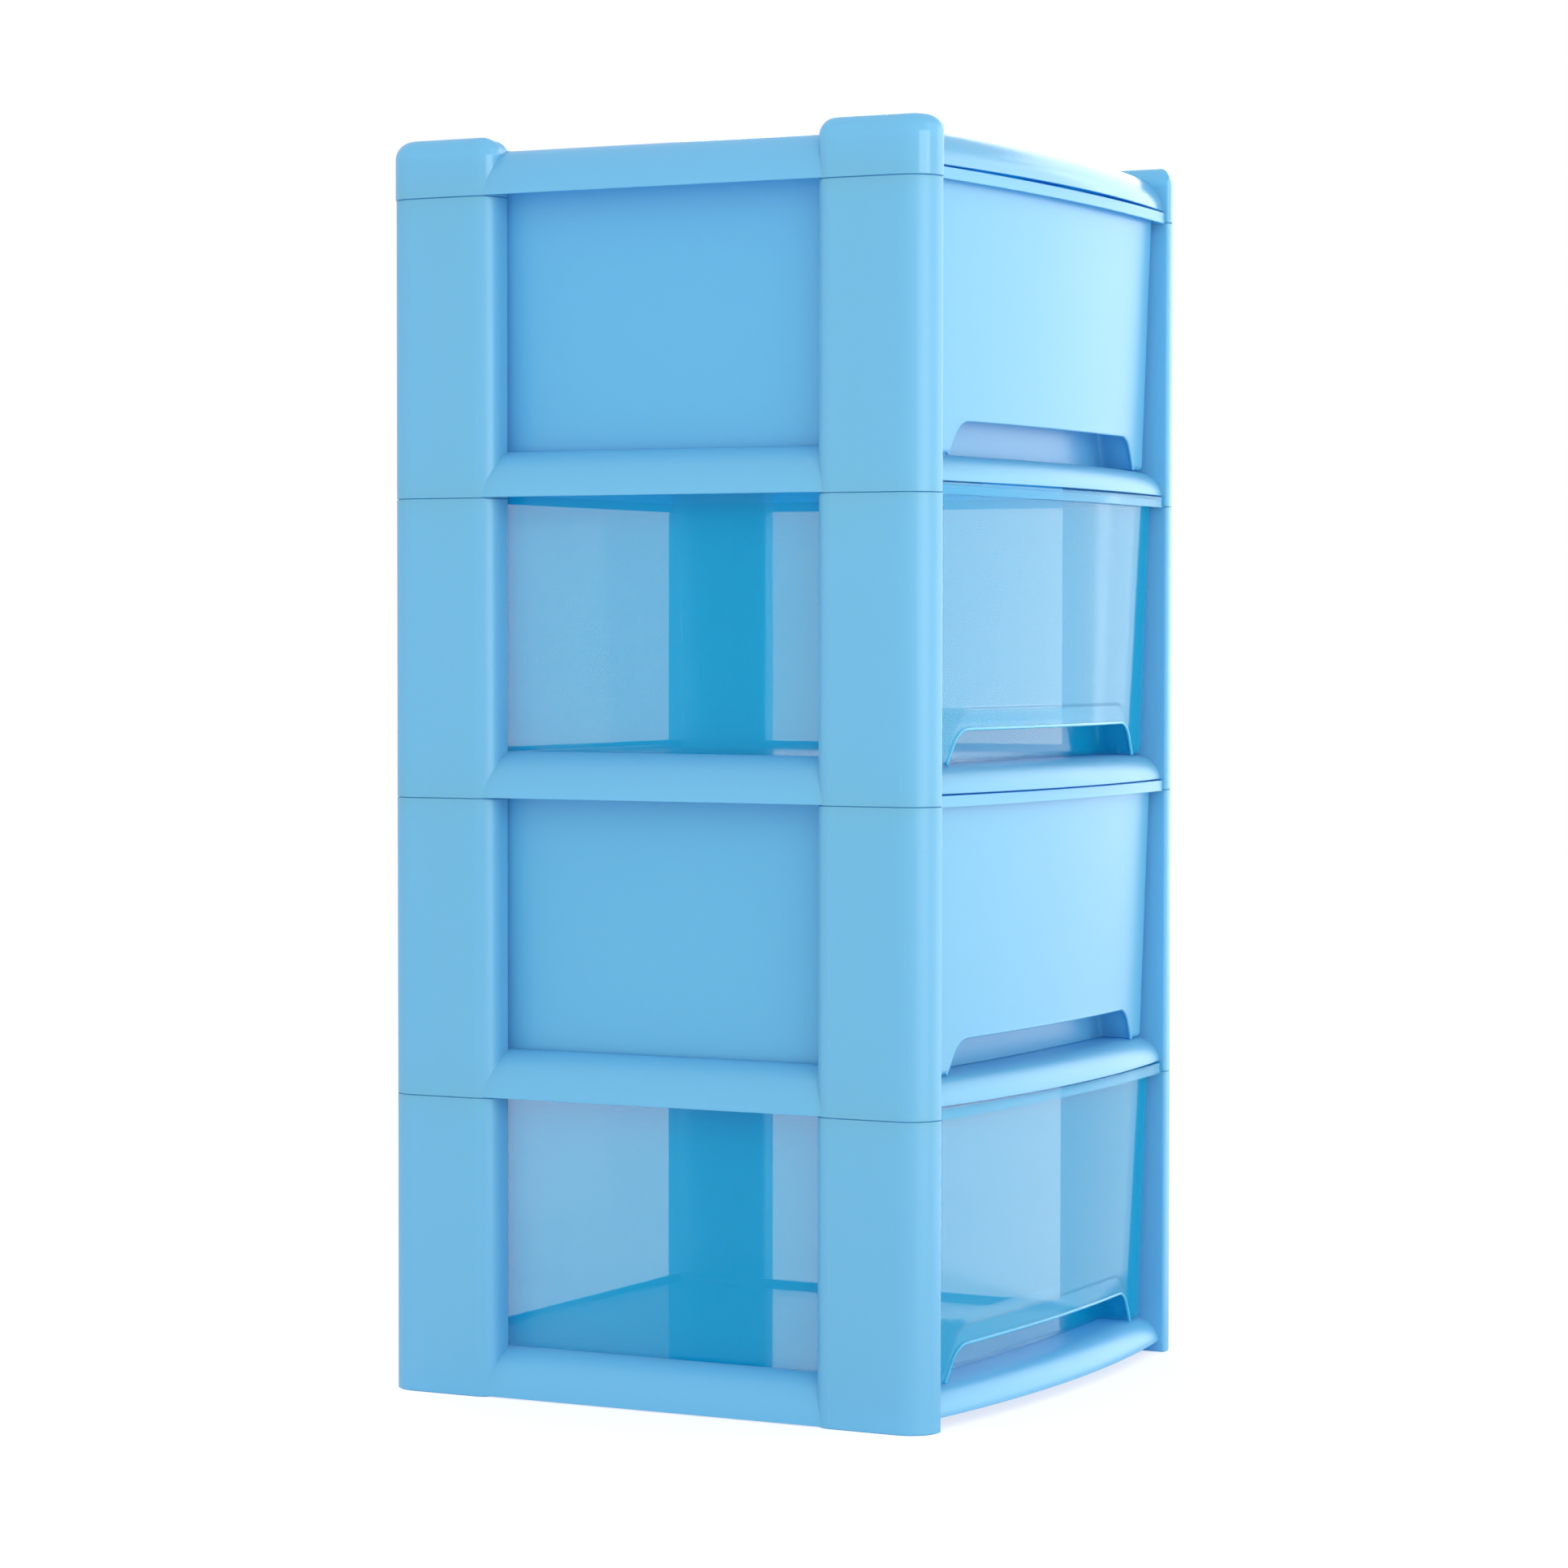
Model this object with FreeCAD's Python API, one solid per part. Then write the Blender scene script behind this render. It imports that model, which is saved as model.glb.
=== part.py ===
"""Plastic drawer tower: four stacked frames, a lid with corner caps and four sliding drawers.

Millimetres. X is the width, the drawers open towards -Y, +Z is up.
The origin is the centre of the tower's bounding box at floor level.
"""
import FreeCAD
import Part
import math
import os

Vector = FreeCAD.Vector

# Tower
level_height = 188.4
post_span_x = 390.0
post_span_y = 380.7
front_bow = 10.25
front_bow_radius = 1030.0
wall = 2.2
overrun = 1.0

# Posts: flat slabs at the four corners, hollow and open below, with a spigot on top
post_thickness = 23.0
post_depth = 77.3
post_corner_radius = 19.4
post_edge_radius = 12.5
post_inner_radius = 2.4
post_outer_share = 0.86
post_inner_share = 0.12
post_rim_radius = 0.35
seam_height = 0.5
spigot_height = 12.0
spigot_clearance = 0.4

# Rails and floor of each level's tray
rail_lift = 0.8
rail_setback = 1.5
rail_width = 26.2
rail_height = 29.7
rear_rail_width = 12.0
rail_crest_radius = 1.2
front_rail_bottom = 7.6
front_rail_width = 20.0
floor_top = 24.0
floor_thickness = 2.2
guide_front_setback = 34.0
rib_thickness = 1.8
rib_depth = 6.0
rib_place_share = 0.36

# Lid
cap_height = 37.5
cap_lip = 0.4
cap_top_radius = 11.5
lid_front_bottom = 8.0
lid_front_crest = 31.5
lid_front_width = 25.2

# Drawers
drawer_lift = 0.3
drawer_side_gap = 2.0
drawer_rear_gap = 1.3
drawer_wall = 2.0
drawer_corner_radius = 8.0
drawer_floor_radius = 3.0
drawer_bow_radius = 1480.0
draft_degrees = 1.65
panel_setback = 10.0
band_setback = 2.6
band_height = 7.0
rim_gap = 1.1
rim_side_gap = 0.4
rim_rear_width = 1.5
rim_corner_radius = 1.5
least_corner_radius = 0.5

# Handle: an arched cut-out in the drawer's front and the finger pocket behind it
cutout_top = 45.9
cutout_half_width = 142.0
cutout_slant_degrees = 32.0
cutout_corner_radius = 20.0
pocket_margin = 4.0
pocket_rise = 13.3
pocket_back_setback = 40.0
pocket_bow_radius = 2200.0
pocket_back_radius = 5.0
pocket_lean_degrees = 4.0

level_names = ["bottom", "lower_middle", "upper_middle", "top"]

# Places that follow from the sizes above
half_width = post_span_x / 2
back_y = (post_span_y + front_bow - cap_lip) / 2
face_y = back_y - post_span_y
nose_y = face_y - front_bow
middle_y = (back_y + face_y) / 2
post_inner_x = half_width - post_thickness
opening_y = back_y - post_depth
opening_front_y = face_y + post_depth
rail_outer_x = half_width - rail_setback
rail_inner_x = rail_outer_x - rail_width
floor_bottom = floor_top - floor_thickness
rear_lip_y = back_y - rail_setback - rear_rail_width
front_crest_y = nose_y + front_rail_width
lid_lip_y = nose_y + lid_front_width
drawer_bottom = floor_top + drawer_lift
drawer_top = level_height + front_rail_bottom - rim_gap
draft = math.tan(math.radians(draft_degrees))
pocket_lean = math.tan(math.radians(pocket_lean_degrees))


def point(x, y, z=0):
    return Vector(x, y, z)


def line(start, end):
    return Part.LineSegment(start, end).toShape()


def polyline(points):
    return [line(a, b) for a, b in zip(points, points[1:])]


def arc(start, middle, end):
    return Part.Arc(start, middle, end).toShape()


def quarter_ellipse(start, end):
    """A quarter of an ellipse that leaves start upright and reaches end level."""
    curve = Part.BezierCurve()
    curve.setPoles([start, point(start.x, end.y), end])
    curve.setWeight(2, math.sqrt(0.5))
    return curve.toShape()


def face_of(edges):
    wire = Part.Wire(Part.__sortEdges__(edges))
    return Part.Face(wire)


def box(x0, x1, y0, y1, z0, z1):
    return Part.makeBox(x1 - x0, y1 - y0, z1 - z0, point(x0, y0, z0))


def lifted(shape, height):
    copy = shape.copy()
    copy.translate(point(0, 0, height))
    return copy


def mirrored_x(shape):
    return shape.mirror(point(0, 0), Vector(1, 0, 0))


def mirrored_y(shape):
    return shape.mirror(point(0, middle_y), Vector(0, 1, 0))


def four_corners(shape):
    """The same solid at the rear right, rear left, front right and front left."""
    rear = [shape, mirrored_x(shape)]
    return rear + [mirrored_y(solid) for solid in rear]


def rounded_face(x0, x1, y0, y1, radii):
    """A rectangle whose corners x0y0, x1y0, x1y1 and x0y1 have the given radii."""
    corners = [(x0, y0, 1, 1), (x1, y0, -1, 1), (x1, y1, -1, -1), (x0, y1, 1, -1)]
    diagonal = 1 - math.sqrt(0.5)
    stops = []
    edges = []
    for index, ((x, y, sx, sy), r) in enumerate(zip(corners, radii)):
        along_x = point(x + sx * r, y)
        along_y = point(x, y + sy * r)
        first, last = (along_y, along_x) if index % 2 == 0 else (along_x, along_y)
        if r > 0:
            edges.append(arc(first, point(x + sx * r * diagonal, y + sy * r * diagonal), last))
        stops.append((first, last))
    for index, (first, last) in enumerate(stops):
        following = stops[(index + 1) % len(stops)][0]
        edges.append(line(last, following))
    return face_of(edges)


def upright(face):
    """Turns a section drawn in (across, height) so that its height is along Z."""
    turned = face.copy()
    turned.rotate(point(0, 0), Vector(1, 0, 0), 90)
    return turned


def post_face(inset):
    """The plan of the rear right post, drawn in by inset on every side."""
    room = post_thickness - 2 * inset
    inner = min(max(post_inner_radius - inset, 0), post_inner_share * room)
    edge = min(post_edge_radius - inset, post_outer_share * room)
    corner = min(post_corner_radius - inset, post_outer_share * room)
    return rounded_face(post_inner_x + inset, half_width - inset,
                        opening_y + inset, back_y - inset, [inner, edge, corner, inner])


def filleted(solid, radius, edges):
    return solid.makeFillet(radius, edges).Solids[0]


def end_edges(solid, heights):
    """The edges of a solid that lie level at one of the given heights."""
    found = []
    for edge in solid.Edges:
        bounds = edge.BoundBox
        level = bounds.ZLength < post_rim_radius / 2
        if level and any(abs(bounds.ZMin - z) < post_rim_radius / 2 for z in heights):
            found.append(edge)
    return found


def post_body():
    """One post without its cavity: the slab, its fine rounded top and its spigot."""
    slab = post_face(0).extrude(point(0, 0, level_height))
    slab = filleted(slab, post_rim_radius, end_edges(slab, [level_height]))
    spigot = lifted(post_face(wall + spigot_clearance), level_height - wall)
    return slab.fuse(spigot.extrude(point(0, 0, wall + spigot_height)))


def post_cavity():
    """What is hollow in a post and in the spigot above it."""
    shaft = lifted(post_face(wall), -overrun).extrude(point(0, 0, level_height - wall + overrun))
    throat = lifted(post_face(2 * wall + spigot_clearance), level_height - wall - overrun)
    return shaft.fuse(throat.extrude(point(0, 0, spigot_height + overrun)))


def seam():
    """The fine gap round the foot of a post or cap, which stands on half its wall."""
    around = box(post_inner_x - overrun, half_width + cap_lip + overrun, opening_y - overrun,
                 back_y + cap_lip + overrun, -overrun, seam_height)
    return around.cut(lifted(post_face(wall / 2), -overrun).extrude(point(0, 0, seam_height + 2 * overrun)))


def rail_face(outer, inner, bottom, crest):
    """The thin section of a hollow rounded rail, from its outer foot over its crest to its lip."""
    turn = math.copysign(1, outer - inner)
    r = rail_crest_radius
    diagonal = r * (1 - math.sqrt(0.5))
    top = point(inner + turn * r, crest)
    lip = point(inner, crest - r)
    bend = point(inner + turn * diagonal, crest - diagonal)
    inner_foot = point(outer - turn * wall, bottom)
    inner_top = point(inner + turn * wall, crest - wall)
    edges = [quarter_ellipse(point(outer, bottom), top)]
    edges.append(arc(top, bend, lip))
    edges += polyline([lip, point(inner, floor_bottom), point(inner + turn * wall, floor_bottom),
                       inner_top])
    edges.append(quarter_ellipse(inner_foot, inner_top))
    edges.append(line(inner_foot, point(outer, bottom)))
    return face_of(edges)


def side_rail(height):
    """The right-hand rail, long enough to run into the rounded edges of its two posts."""
    section = upright(rail_face(rail_outer_x, rail_inner_x, rail_lift, height))
    reach = post_edge_radius + overrun
    start = opening_front_y - reach
    section.translate(point(0, start))
    return section.extrude(point(0, opening_y + reach - start))


def rear_rail(height):
    section = upright(rail_face(back_y - rail_setback, rear_lip_y, rail_lift, height))
    section.rotate(point(0, 0), Vector(0, 0, 1), 90)
    reach = post_inner_x + wall / 2
    section.translate(point(-reach, 0))
    return section.extrude(point(2 * reach, 0))


def swept_along_bow(section):
    """Turns a section at X = 0 about the centre of the front's bow, from post to post."""
    centre = point(0, nose_y + front_bow_radius)
    reach = post_inner_x + 2 * wall
    half_turn = math.degrees(math.asin(reach / front_bow_radius))
    start = upright(section)
    start.rotate(point(0, 0), Vector(0, 0, 1), 90)
    start.rotate(centre, Vector(0, 0, 1), -half_turn)
    return start.revolve(centre, Vector(0, 0, 1), 2 * half_turn)


def tray_front_rail():
    """The low front rail: a bowed nose that rises to the floor, so that the drawer clears it."""
    inner_end = front_crest_y + 2 * wall
    edges = [quarter_ellipse(point(nose_y, front_rail_bottom), point(front_crest_y, floor_top))]
    edges += polyline([point(front_crest_y, floor_top), point(inner_end, floor_top),
                       point(inner_end, floor_bottom), point(front_crest_y, floor_bottom)])
    inner_foot = point(nose_y + wall, front_rail_bottom)
    edges.append(quarter_ellipse(inner_foot, point(front_crest_y, floor_bottom)))
    edges.append(line(inner_foot, point(nose_y, front_rail_bottom)))
    return swept_along_bow(face_of(edges))


def lid_front_rail():
    """The lid's front rail is taller and has a lip like the other rails."""
    return swept_along_bow(rail_face(nose_y, lid_lip_y, lid_front_bottom, lid_front_crest))


def floor_plate():
    """The tray's floor, with a front edge that follows the bow, and its ribs below."""
    half = rail_inner_x + wall / 2
    radius = front_bow_radius - front_rail_width - wall / 2
    centre_y = nose_y + front_bow_radius
    corner_y = centre_y - math.sqrt(radius ** 2 - half ** 2)
    rear = rear_lip_y + wall / 2
    edges = [arc(point(-half, corner_y), point(0, centre_y - radius), point(half, corner_y))]
    edges += polyline([point(half, corner_y), point(half, rear), point(-half, rear),
                       point(-half, corner_y)])
    plate = lifted(face_of(edges), floor_bottom).extrude(point(0, 0, floor_thickness))
    return plate.multiFuse(floor_ribs(half, corner_y, rear))


def floor_ribs(half, front, rear):
    low = floor_bottom - rib_depth
    ribs = []
    for side in (-1, 1):
        x = side * rib_place_share * half
        ribs.append(box(x - rib_thickness / 2, x + rib_thickness / 2, front, rear, low, floor_top))
        y = (front + rear) / 2 + side * rib_place_share * (rear - front) / 2
        ribs.append(box(-half, half, y - rib_thickness / 2, y + rib_thickness / 2, low, floor_top))
    return ribs


def guide_lip(y0, y1, height):
    """Carries the side rail's lip on past a post, so that it guides the drawer all the way."""
    return box(rail_inner_x, post_inner_x + wall / 2, y0, y1, floor_bottom, height)


def tray(height, front_rail, guide_front):
    """Rails, floor and lips of one level, as a list of overlapping solids."""
    right = side_rail(height)
    rear_guide = guide_lip(opening_y, rear_lip_y + wall / 2, height)
    front_guide = guide_lip(guide_front, opening_front_y, height)
    solids = [right, rear_guide, front_guide]
    solids += [mirrored_x(solid) for solid in solids]
    return solids + [rear_rail(height), floor_plate(), front_rail]


def joined(solids, cavities):
    """Fuses a moulding's solids and hollows out its posts or caps."""
    moulding = solids[0].multiFuse(solids[1:])
    moulding = moulding.cut(cavities)
    return moulding.removeSplitter()


def tower_frame():
    """One level in one moulding: the tray and the four posts that stand on its corners."""
    rails = tray(rail_height, tray_front_rail(), face_y + guide_front_setback)
    solids = four_corners(post_body()) + rails
    return joined(solids, four_corners(post_cavity()) + four_corners(seam()))


def cap_plan(inner_radius):
    """The cap's plan: the post's, a little proud of it at the tower's outer sides."""
    radii = [inner_radius, post_edge_radius, post_corner_radius, inner_radius]
    return rounded_face(post_inner_x, half_width + cap_lip, opening_y, back_y + cap_lip, radii)


def cap_body():
    """A corner cap with its top rounded over on all sides."""
    inner_x = post_inner_x
    outer_x = half_width + cap_lip
    block = cap_plan(0).extrude(point(0, 0, cap_height))
    rim = [edge for edge in end_edges(block, [cap_height]) if edge.BoundBox.XMax > inner_x + wall]
    domed = filleted(block, cap_top_radius, rim)
    r = cap_top_radius
    diagonal = r * (1 - math.sqrt(0.5))
    shoulder = [arc(point(inner_x, cap_height - r), point(inner_x + diagonal, cap_height - diagonal),
                    point(inner_x + r, cap_height))]
    shoulder += polyline([point(inner_x + r, cap_height), point(outer_x, cap_height),
                          point(outer_x, 0), point(inner_x, 0), point(inner_x, cap_height - r)])
    section = upright(face_of(shoulder))
    section.translate(point(0, opening_y))
    inner_side = section.extrude(point(0, post_depth + cap_lip))
    upright_edges = cap_plan(post_inner_radius).extrude(point(0, 0, cap_height))
    return domed.common(inner_side).common(upright_edges).Solids[0]


def cap_cavity():
    depth = cap_height - cap_top_radius
    return lifted(post_face(wall), -overrun).extrude(point(0, 0, depth + overrun))


def lid():
    """The lid in one moulding: the same tray, with caps in place of posts and a front lip."""
    lip_end = lid_lip_y + bow_depth(post_inner_x, front_bow_radius - lid_front_width)
    rails = tray(rail_height, lid_front_rail(), lip_end - wall)
    cavities = four_corners(cap_cavity()) + four_corners(seam())
    return joined(four_corners(cap_body()) + rails, cavities)


def bowed_wire(half, front, rear, bow_radius, corner_radius, z):
    """A closed outline with a bowed front and four rounded corners, at height z."""
    r = corner_radius
    centre_y = front + bow_radius
    reach = bow_radius - r
    fillet_y = centre_y - math.sqrt(reach ** 2 - (half - r) ** 2)
    scale = bow_radius / reach
    bow_end = point(scale * (half - r), centre_y + scale * (fillet_y - centre_y), z)
    side_start = point(half, fillet_y, z)
    middle = point(half - r, fillet_y, z) + corner_direction(bow_end, half - r, fillet_y, z) * r
    diagonal = r * (1 - math.sqrt(0.5))
    side_end = point(half, rear - r, z)
    rear_bend = point(half - diagonal, rear - diagonal, z)
    rear_end = point(half - r, rear, z)
    right = [arc(bow_end, middle, side_start), line(side_start, side_end),
             arc(side_end, rear_bend, rear_end)]
    left = [mirrored_x(edge) for edge in right]
    bow = arc(mirror_point(bow_end), point(0, front, z), bow_end)
    back = line(rear_end, mirror_point(rear_end))
    return Part.Wire(Part.__sortEdges__([bow] + right + [back] + left))


def mirror_point(place):
    return point(-place.x, place.y, place.z)


def corner_direction(bow_end, x, y, z):
    """The direction halfway round a front corner, from its centre."""
    first = bow_end - point(x, y, z)
    first.normalize()
    halfway = first + Vector(1, 0, 0)
    halfway.normalize()
    return halfway


def drawer_wire(z, inset):
    """The drawer's body at height z above its level's foot, narrower towards the bottom."""
    shrink = (drawer_top - z) * draft + inset
    half = post_inner_x - drawer_side_gap - shrink
    front = nose_y + panel_setback + shrink
    rear_foot = rear_lip_y - drawer_rear_gap
    rear = rear_foot + (z - drawer_bottom) * draft - inset
    radius = max(drawer_corner_radius - inset, least_corner_radius)
    return bowed_wire(half, front, rear, drawer_bow_radius - inset, radius, z)


def drawer_block(bottom, top, inset):
    return Part.makeLoft([drawer_wire(bottom, inset), drawer_wire(top, inset)], True, True)


def rim_wire(inset, z):
    half = post_inner_x - rim_side_gap - inset
    front = nose_y + band_setback + inset
    rear_foot = rear_lip_y - drawer_rear_gap
    rear = rear_foot + (drawer_top - drawer_bottom) * draft + rim_rear_width - inset
    radius = max(rim_corner_radius - inset, least_corner_radius)
    return bowed_wire(half, front, rear, drawer_bow_radius - inset, radius, z)


def drawer_rim():
    """The flange round the drawer's mouth and the band that hangs from it in front."""
    flange = Part.Face(rim_wire(0, drawer_top - drawer_wall)).extrude(point(0, 0, drawer_wall))
    band_foot = drawer_top - band_height
    band = Part.Face(rim_wire(0, band_foot)).extrude(point(0, 0, band_height))
    hollow = Part.Face(rim_wire(drawer_wall, band_foot)).extrude(point(0, 0, band_height))
    half = post_inner_x
    corner_y = nose_y + panel_setback + bow_depth(half, drawer_bow_radius)
    front = box(-half, half, nose_y, corner_y + drawer_corner_radius, band_foot, drawer_top)
    return [flange, band.cut(hollow).common(front)]


def bow_depth(x, radius):
    """How far a bow has fallen back at x from its middle."""
    return radius - math.sqrt(radius ** 2 - x ** 2)


def arch_face(half, foot, top, corner_radius):
    """An arch with slanted legs and rounded shoulders, drawn in (X, height)."""
    slant = math.radians(cutout_slant_degrees)
    shoulder = half - (top - foot) * math.tan(slant)
    turn = (math.pi / 2 - slant) / 2
    tangent = corner_radius * math.tan(turn)
    leg_end = point(shoulder + tangent * math.sin(slant), top - tangent * math.cos(slant))
    top_end = point(shoulder - tangent, top)
    centre = point(shoulder - tangent, top - corner_radius)
    towards = point(shoulder, top) - centre
    towards.normalize()
    bend = centre + towards * corner_radius
    right = [line(point(half, foot), leg_end), arc(leg_end, bend, top_end)]
    left = [mirrored_x(edge) for edge in right]
    across = [line(point(half, foot), point(-half, foot)), line(top_end, mirror_point(top_end))]
    return face_of(right + left + across)


def arch_prism(half, foot, top, corner_radius, y0, y1):
    section = upright(arch_face(half, foot, top, corner_radius))
    section.translate(point(0, y0))
    return section.extrude(point(0, y1 - y0))


def before_bow(back, radius, foot, top):
    """All space in front of a bowed surface that is foremost at X = 0 and leans forward."""
    half = half_width
    depth = bow_depth(half, radius)
    front = nose_y - front_bow
    edges = [arc(point(-half, back + depth), point(0, back), point(half, back + depth))]
    edges += polyline([point(half, back + depth), point(half, front), point(-half, front),
                       point(-half, back + depth)])
    rise = top - foot
    return lifted(face_of(edges), foot).extrude(point(0, -pocket_lean * rise, rise))


def pocket(inset, foot):
    """The finger pocket's space, or with no inset the outside of its walls."""
    back = nose_y + pocket_back_setback + wall - inset
    top = cutout_top + pocket_rise - inset
    half = cutout_half_width + pocket_margin - inset
    radius = cutout_corner_radius + pocket_margin - inset
    deep = back + bow_depth(half_width, pocket_bow_radius)
    arch = arch_prism(half, foot, top, radius, nose_y, deep)
    space = arch.common(before_bow(back, pocket_bow_radius, foot - overrun, top + overrun))
    rear_edges = [edge for edge in space.Edges
                  if edge.BoundBox.YMin > back - pocket_back_radius
                  and edge.BoundBox.ZMax > foot + overrun]
    return filleted(space, pocket_back_radius - inset, rear_edges)


def drawer():
    """One drawer in one moulding: tub, rim, cut-out and finger pocket."""
    body = drawer_block(drawer_bottom, drawer_top, 0)
    body = filleted(body, drawer_floor_radius, end_edges(body, [drawer_bottom]))
    inner_floor = drawer_bottom + drawer_wall
    hollow = drawer_block(inner_floor, drawer_top + overrun, drawer_wall)
    hollow = filleted(hollow, drawer_floor_radius, end_edges(hollow, [inner_floor]))
    inside_panel = drawer_block(drawer_bottom - overrun, drawer_top, drawer_wall)
    shell = body.multiFuse(drawer_rim()).cut(hollow)
    hood = pocket(0, drawer_bottom).common(body)
    fingers = pocket(drawer_wall, drawer_bottom - overrun).common(inside_panel)
    gap = arch_prism(cutout_half_width, drawer_bottom - overrun, cutout_top, cutout_corner_radius,
                     nose_y, nose_y + panel_setback + pocket_back_setback / 2)
    shell = shell.fuse(hood).cut([fingers, gap])
    return shell.removeSplitter()


def write(shape, name):
    """Writes one node, one solid, as a STEP file."""
    solid = shape.Solids[0] if len(shape.Solids) == 1 else shape
    print(name, "solids", len(shape.Solids), "valid", shape.isValid(), "volume", round(shape.Volume))
    solid.exportStep(os.path.join("parts", name + ".step"))


def main():
    os.makedirs("parts", exist_ok=True)
    frame = tower_frame()
    tub = drawer()
    for level, name in enumerate(level_names):
        foot = level * level_height
        write(lifted(frame, foot), "frame_" + name)
        write(lifted(tub, foot), "drawer_" + name)
    write(lifted(lid(), len(level_names) * level_height), "lid")


main()
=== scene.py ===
"""Plastic drawer tower in a plain bright studio. Metres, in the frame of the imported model."""
import math

import bpy
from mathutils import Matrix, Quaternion, Vector


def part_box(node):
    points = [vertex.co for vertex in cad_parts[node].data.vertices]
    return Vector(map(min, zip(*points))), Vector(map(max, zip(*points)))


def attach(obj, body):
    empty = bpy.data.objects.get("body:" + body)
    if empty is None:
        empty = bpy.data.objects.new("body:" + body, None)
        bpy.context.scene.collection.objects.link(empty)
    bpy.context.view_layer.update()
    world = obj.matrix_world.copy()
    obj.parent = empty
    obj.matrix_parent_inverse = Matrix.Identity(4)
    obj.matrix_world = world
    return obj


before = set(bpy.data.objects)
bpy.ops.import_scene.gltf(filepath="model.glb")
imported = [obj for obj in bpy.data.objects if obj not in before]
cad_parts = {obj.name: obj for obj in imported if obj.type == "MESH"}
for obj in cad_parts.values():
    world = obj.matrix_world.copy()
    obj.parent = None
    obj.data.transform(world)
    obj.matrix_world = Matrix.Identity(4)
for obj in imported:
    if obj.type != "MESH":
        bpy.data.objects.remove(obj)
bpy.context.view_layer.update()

LEVELS = ["bottom", "lower_middle", "upper_middle", "top"]
OPAQUE_LEVELS = ["lower_middle", "top"]

# Camera, fitted to the straight edges of the tower in the photograph
CAMERA_PLACE = (-2.61945, -1.35835, 0.48062)
CAMERA_FORWARD = (0.88553, 0.46340, -0.03314)
CAMERA_ROLL_DEGREES = 0.065
CAMERA_LENS = 103.93
CAMERA_FAR = 100.0
SENSOR_WIDTH = 36.0

# Colours, linear
FRAME_BLUE = (0.28, 0.78, 0.96, 1.0)
FRAME_BLUE_DEEP = (0.26, 0.76, 0.95, 1.0)
DRAWER_BLUE = (0.22, 0.75, 0.97, 1.0)
DRAWER_BLUE_DEEP = (0.21, 0.74, 0.96, 1.0)
CLEAR_BLUE = (0.0, 0.55, 0.90, 1.0)
CLEAR_BLUE_DEEP = (0.0, 0.53, 0.88, 1.0)
# Lip along the clear drawers' cut-out: paler than the clear walls as a painted highlight for the light
# its rounded edge reflects, on top of its real gloss
CLEAR_LIP_PAINTED_HIGHLIGHT = (0.10, 0.66, 1.0, 1.0)
GLOW_BLUE = (0.05, 0.62, 1.0, 1.0)
WHITE = (1.0, 1.0, 1.0, 1.0)
FLOOR_WHITE = (0.93, 0.93, 0.93, 1.0)
FLOOR_SEEN = (0.5, 0.5, 0.5, 1.0)

# Plastics: what shows through the clear drawers and their lips, and what the walls let glow
CLEAR_ALPHA = 0.38
CLEAR_EDGE_ALPHA = 0.8
WALL_GLOW = 0.4
PLASTIC_IOR = 1.6
PLASTIC_GLOSS = 0.5
CLEAR_GLOSS = 0.25

# Slow colour drift from the melt flow
FLOW_SCALE = 3.5
FLOW_DETAIL = 2.0
FLOW_DISTORTION = 0.6

# Uneven gloss: the noise's usual reach turns into a few percent of roughness
DRIFT_SCALE = 22.0
DRIFT_DETAIL = 4.0
DRIFT_ROUGHNESS = 0.6
DRIFT_REACH = (0.3, 0.7)
DRIFT_SHARES = (0.95, 1.05)

# Fine grain of the moulded skin, its depth in metres
SKIN_SCALE = 900.0
SKIN_DETAIL = 2.0
SKIN_ROUGHNESS = 0.5
SKIN_DEPTH = 0.0002

# Moulded edges are never sharp: how far their shading is rounded, in metres
EDGE_RADIUS = 0.0009
EDGE_SAMPLES = 4

# Cut-out in each drawer's front, in metres: its rounded edge is a bead on the wall's cut
CUTOUT_TOP = 0.0459
CUTOUT_HALF_WIDTH = 0.142
CUTOUT_SLANT_DEGREES = 32.0
CUTOUT_CORNER_RADIUS = 0.020
BEAD_RADIUS = 0.00115
BEAD_RESOLUTION = 3
PANEL_BOW_RADIUS = 1.480
PANEL_BEHIND_BAND = 0.0074
PANEL_DRAFT_DEGREES = 1.65
PANEL_WALL = 0.002
LEG_STEPS = 6
SHOULDER_STEPS = 8
TOP_STEPS = 24

# Studio: floor, background and lamps
FLOOR_HALF = 6.0
FLOOR_ROUGHNESS = 0.9
FLOOR_LIFT = 0.68
WORLD_LIGHT = 0.80
WORLD_SEEN = 1.0

# Each lamp's name, place, target, width, height, power and the kind of ray that misses it: soft
# boxes only light the tower, cards only show in its gloss
LAMPS = [
    ("key_softbox", (-2.1, -1.8, 1.3), (0.0, 0.0, 0.4), 2.0, 2.0, 18.0, "glossy"),
    ("rear_softbox", (2.0, 2.2, 1.8), (0.0, 0.0, 0.4), 2.0, 2.0, 30.0, "glossy"),
    ("front_card", (-1.34, -2.93, 0.65), (-0.17, -0.17, 0.5), 2.2, 1.5, 42.0, "diffuse"),
    ("front_fill", (1.9, -2.5, 0.65), (0.1, -0.17, 0.5), 2.2, 1.5, 16.0, "glossy"),
    ("wall_card", (3.05, -2.6, 1.5), (3.05, 0.0, 1.5), 7.9, 4.0, 119.0, "diffuse"),
    ("right_card", (2.2, -1.9, 0.8), (0.0, -0.19, 0.5), 2.2, 2.2, 23.0, "diffuse"),
    ("side_card", (3.0, 0.2, 1.2), (0.0, 0.0, 0.5), 3.0, 2.4, 70.0, "diffuse"),
    ("floor_card", (1.62, -1.22, 0.01), (1.62, -1.22, 1.0), 2.75, 1.95, 25.0, "diffuse"),
]


def new_material(name):
    material = bpy.data.materials.new(name)
    material.use_nodes = True
    nodes = material.node_tree.nodes
    nodes.clear()
    return material, nodes, material.node_tree.links


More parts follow.
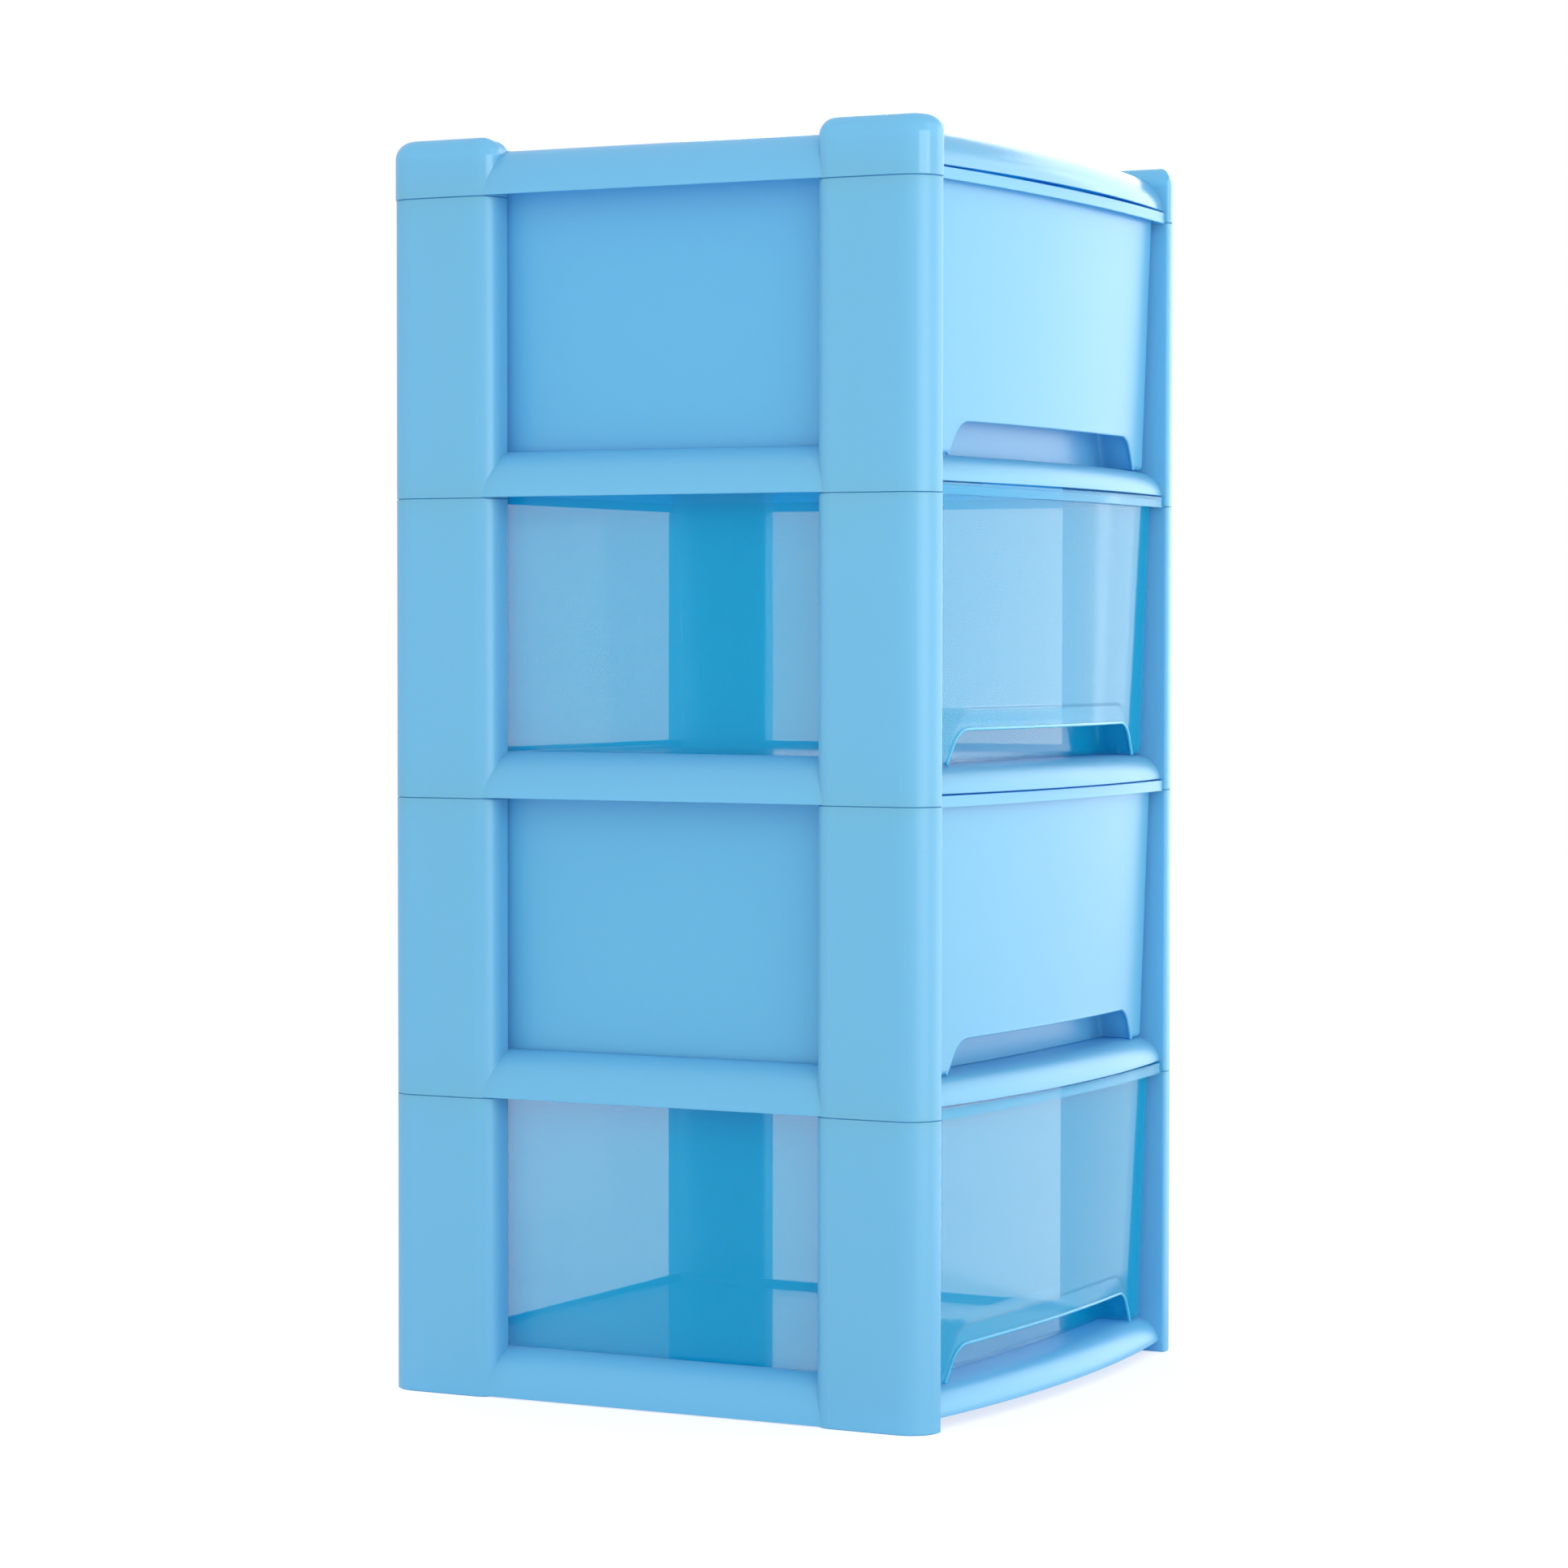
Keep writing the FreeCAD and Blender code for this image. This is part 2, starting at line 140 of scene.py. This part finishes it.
def node(nodes, kind, **inputs):
    """Adds a shader node with values on its inputs, named with _ for a space."""
    made = nodes.new(kind)
    for name, value in inputs.items():
        made.inputs[name.replace("_", " ")].default_value = value
    return made


def colour_mix(nodes, links, first, second, factor):
    """Result of a mix of two colours."""
    mix = nodes.new("ShaderNodeMix")
    mix.data_type = "RGBA"
    mix.inputs["A"].default_value = first
    mix.inputs["B"].default_value = second
    links.new(factor, mix.inputs["Factor"])
    return mix.outputs["Result"]


def moulded_plastic(name, colour, deep, roughness, grain, alpha=1.0, gloss=PLASTIC_GLOSS, glow=0.0):
    """Injection-moulded plastic: slow colour drift from the melt flow, fine skin grain, uneven gloss."""
    material, nodes, links = new_material(name)
    place = nodes.new("ShaderNodeTexCoord").outputs["Object"]

    flow = node(nodes, "ShaderNodeTexNoise", Scale=FLOW_SCALE, Detail=FLOW_DETAIL,
                Distortion=FLOW_DISTORTION)
    links.new(place, flow.inputs["Vector"])
    tint = colour_mix(nodes, links, deep, colour, flow.outputs["Fac"])

    drift = node(nodes, "ShaderNodeTexNoise", Scale=DRIFT_SCALE, Detail=DRIFT_DETAIL,
                 Roughness=DRIFT_ROUGHNESS)
    links.new(place, drift.inputs["Vector"])
    rough = node(nodes, "ShaderNodeMapRange", From_Min=DRIFT_REACH[0], From_Max=DRIFT_REACH[1],
                 To_Min=roughness * DRIFT_SHARES[0], To_Max=roughness * DRIFT_SHARES[1])
    links.new(drift.outputs["Fac"], rough.inputs["Value"])

    skin = node(nodes, "ShaderNodeTexNoise", Scale=SKIN_SCALE, Detail=SKIN_DETAIL,
                Roughness=SKIN_ROUGHNESS)
    links.new(place, skin.inputs["Vector"])
    soft_edge = node(nodes, "ShaderNodeBevel", Radius=EDGE_RADIUS)
    soft_edge.samples = EDGE_SAMPLES
    bump = node(nodes, "ShaderNodeBump", Strength=grain, Distance=SKIN_DEPTH)
    links.new(skin.outputs["Fac"], bump.inputs["Height"])
    links.new(soft_edge.outputs["Normal"], bump.inputs["Normal"])

    last = node(nodes, "ShaderNodeBsdfPrincipled", IOR=PLASTIC_IOR, Specular_IOR_Level=gloss,
                Alpha=alpha)
    links.new(tint, last.inputs["Base Color"])
    links.new(rough.outputs["Result"], last.inputs["Roughness"])
    links.new(bump.outputs["Normal"], last.inputs["Normal"])
    if glow:
        through = node(nodes, "ShaderNodeBsdfTranslucent", Color=GLOW_BLUE)
        blend = node(nodes, "ShaderNodeMixShader", Fac=glow)
        links.new(last.outputs["BSDF"], blend.inputs[1])
        links.new(through.outputs["BSDF"], blend.inputs[2])
        last = blend
    output = nodes.new("ShaderNodeOutputMaterial")
    links.new(last.outputs[0], output.inputs["Surface"])
    return material


def dress(name, material):
    """Gives every face of a CAD node one material."""
    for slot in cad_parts[name].material_slots:
        slot.material = material


def cutout_outline(foot):
    """Points (across, height) up the right leg of the arch, round its shoulder and over the top."""
    slant = math.radians(CUTOUT_SLANT_DEGREES)
    shoulder = CUTOUT_HALF_WIDTH - (CUTOUT_TOP - foot) * math.tan(slant)
    turn = math.pi / 2 - slant
    tangent = CUTOUT_CORNER_RADIUS * math.tan(turn / 2)
    centre = (shoulder - tangent, CUTOUT_TOP - CUTOUT_CORNER_RADIUS)
    leg_end = (shoulder + tangent * math.sin(slant), CUTOUT_TOP - tangent * math.cos(slant))
    right = []
    for step in range(LEG_STEPS + 1):
        share = step / LEG_STEPS
        right.append((CUTOUT_HALF_WIDTH + (leg_end[0] - CUTOUT_HALF_WIDTH) * share,
                      foot + (leg_end[1] - foot) * share))
    for step in range(1, SHOULDER_STEPS + 1):
        angle = math.pi / 2 - turn * (1 - step / SHOULDER_STEPS)
        right.append((centre[0] + CUTOUT_CORNER_RADIUS * math.cos(angle),
                      centre[1] + CUTOUT_CORNER_RADIUS * math.sin(angle)))
    top_end = right[-1][0]
    top = [(top_end * (1 - 2 * step / TOP_STEPS), CUTOUT_TOP) for step in range(1, TOP_STEPS)]
    return right + top + [(-x, z) for x, z in reversed(right)]


def recess_lip(level, material):
    """The rounded lip along the cut-out of one drawer's front."""
    drawer = "drawer_" + level
    low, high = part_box(drawer)
    level_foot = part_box("frame_" + level)[0][2]
    data = bpy.data.curves.new("recess_lip_" + level, "CURVE")
    data.dimensions = "3D"
    data.bevel_depth = BEAD_RADIUS
    data.bevel_resolution = BEAD_RESOLUTION
    data.use_fill_caps = True
    outline = cutout_outline(low[2] - level_foot)
    spline = data.splines.new("POLY")
    spline.points.add(len(outline) - 1)
    for point, (x, z) in zip(spline.points, outline):
        bow = PANEL_BOW_RADIUS - math.sqrt(PANEL_BOW_RADIUS ** 2 - x ** 2)
        lean = (high[2] - level_foot - z) * math.tan(math.radians(PANEL_DRAFT_DEGREES))
        y = low[1] + PANEL_BEHIND_BAND + lean + bow + PANEL_WALL / 2
        point.co = (x, y, level_foot + z, 1.0)
    lip = bpy.data.objects.new("recess_lip_" + level, data)
    bpy.context.collection.objects.link(lip)
    data.materials.append(material)
    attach(lip, drawer)


def make_camera():
    data = bpy.data.cameras.new("camera")
    data.lens = CAMERA_LENS
    data.sensor_width = SENSOR_WIDTH
    data.clip_end = CAMERA_FAR
    camera = bpy.data.objects.new("camera", data)
    bpy.context.collection.objects.link(camera)
    camera.location = CAMERA_PLACE
    turn = Vector(CAMERA_FORWARD).to_track_quat("-Z", "Y")
    roll = Quaternion((0.0, 0.0, 1.0), math.radians(CAMERA_ROLL_DEGREES))
    camera.rotation_euler = (turn @ roll).to_euler()
    bpy.context.scene.camera = camera


def make_lamp(name, place, target, width, height, power, missed_by):
    data = bpy.data.lights.new(name, "AREA")
    data.shape = "RECTANGLE"
    data.size = width
    data.size_y = height
    data.energy = power
    lamp = bpy.data.objects.new(name, data)
    bpy.context.collection.objects.link(lamp)
    lamp.location = place
    lamp.rotation_euler = (Vector(target) - Vector(place)).to_track_quat("-Z", "Y").to_euler()
    lamp.visible_camera = False
    if missed_by == "glossy":
        lamp.visible_glossy = False
    else:
        lamp.visible_diffuse = False


def seen_ray(nodes, links):
    """One for the rays that show the background itself, nought for those that only light."""
    path = nodes.new("ShaderNodeLightPath")
    found = path.outputs["Is Camera Ray"]
    for name in ("Is Glossy Ray", "Is Transmission Ray"):
        either = nodes.new("ShaderNodeMath")
        either.operation = "MAXIMUM"
        links.new(found, either.inputs[0])
        links.new(path.outputs[name], either.inputs[1])
        found = either.outputs["Value"]
    return found


def make_world():
    world = bpy.data.worlds.new("studio")
    world.use_nodes = True
    bpy.context.scene.world = world
    nodes = world.node_tree.nodes
    nodes.clear()
    links = world.node_tree.links
    light = node(nodes, "ShaderNodeBackground", Color=WHITE, Strength=WORLD_LIGHT)
    seen = node(nodes, "ShaderNodeBackground", Color=WHITE, Strength=WORLD_SEEN)
    blend = nodes.new("ShaderNodeMixShader")
    links.new(seen_ray(nodes, links), blend.inputs["Fac"])
    links.new(light.outputs["Background"], blend.inputs[1])
    links.new(seen.outputs["Background"], blend.inputs[2])
    output = nodes.new("ShaderNodeOutputWorld")
    links.new(blend.outputs["Shader"], output.inputs["Surface"])


def make_floor():
    """A plain floor that shows white and keeps the tower's shadow."""
    mesh = bpy.data.meshes.new("floor")
    corners = [(-FLOOR_HALF, -FLOOR_HALF, 0.0), (FLOOR_HALF, -FLOOR_HALF, 0.0),
               (FLOOR_HALF, FLOOR_HALF, 0.0), (-FLOOR_HALF, FLOOR_HALF, 0.0)]
    mesh.from_pydata(corners, [], [(0, 1, 2, 3)])
    floor = bpy.data.objects.new("floor", mesh)
    bpy.context.collection.objects.link(floor)
    material, nodes, links = new_material("floor_white")
    seen = seen_ray(nodes, links)
    lift = nodes.new("ShaderNodeMath")
    lift.operation = "MULTIPLY"
    lift.inputs[1].default_value = FLOOR_LIFT
    links.new(seen, lift.inputs[0])
    shader = node(nodes, "ShaderNodeBsdfPrincipled", Roughness=FLOOR_ROUGHNESS,
                  Specular_IOR_Level=0.0, Emission_Color=WHITE)
    links.new(colour_mix(nodes, links, FLOOR_WHITE, FLOOR_SEEN, seen), shader.inputs["Base Color"])
    links.new(lift.outputs["Value"], shader.inputs["Emission Strength"])
    output = nodes.new("ShaderNodeOutputMaterial")
    links.new(shader.outputs["BSDF"], output.inputs["Surface"])
    mesh.materials.append(material)


frame_plastic = moulded_plastic("frame_plastic", FRAME_BLUE, FRAME_BLUE_DEEP, roughness=0.36,
                                grain=0.12, glow=WALL_GLOW)
lid_plastic = moulded_plastic("lid_plastic", FRAME_BLUE, FRAME_BLUE_DEEP, roughness=0.18,
                              grain=0.05, glow=WALL_GLOW)
opaque_plastic = moulded_plastic("opaque_drawer_plastic", DRAWER_BLUE, DRAWER_BLUE_DEEP,
                                 roughness=0.31, grain=0.03, glow=WALL_GLOW)
clear_plastic = moulded_plastic("clear_drawer_plastic", CLEAR_BLUE, CLEAR_BLUE_DEEP,
                                roughness=0.08, grain=0.02, alpha=CLEAR_ALPHA, gloss=CLEAR_GLOSS)
# The clear lip's bead and gloss are real; its paler, more opaque blue is a painted highlight
clear_lip_painted_highlight = moulded_plastic("clear_edge_plastic", CLEAR_LIP_PAINTED_HIGHLIGHT, CLEAR_BLUE, roughness=0.10,
                             grain=0.02, alpha=CLEAR_EDGE_ALPHA)

dress("lid", lid_plastic)
for level in LEVELS:
    dress("frame_" + level, frame_plastic)
    if level in OPAQUE_LEVELS:
        dress("drawer_" + level, opaque_plastic)
        recess_lip(level, opaque_plastic)
    else:
        dress("drawer_" + level, clear_plastic)
        recess_lip(level, clear_lip_painted_highlight)

make_camera()
make_world()
for lamp in LAMPS:
    make_lamp(*lamp)
make_floor()

bpy.context.scene.view_settings.view_transform = "Standard"
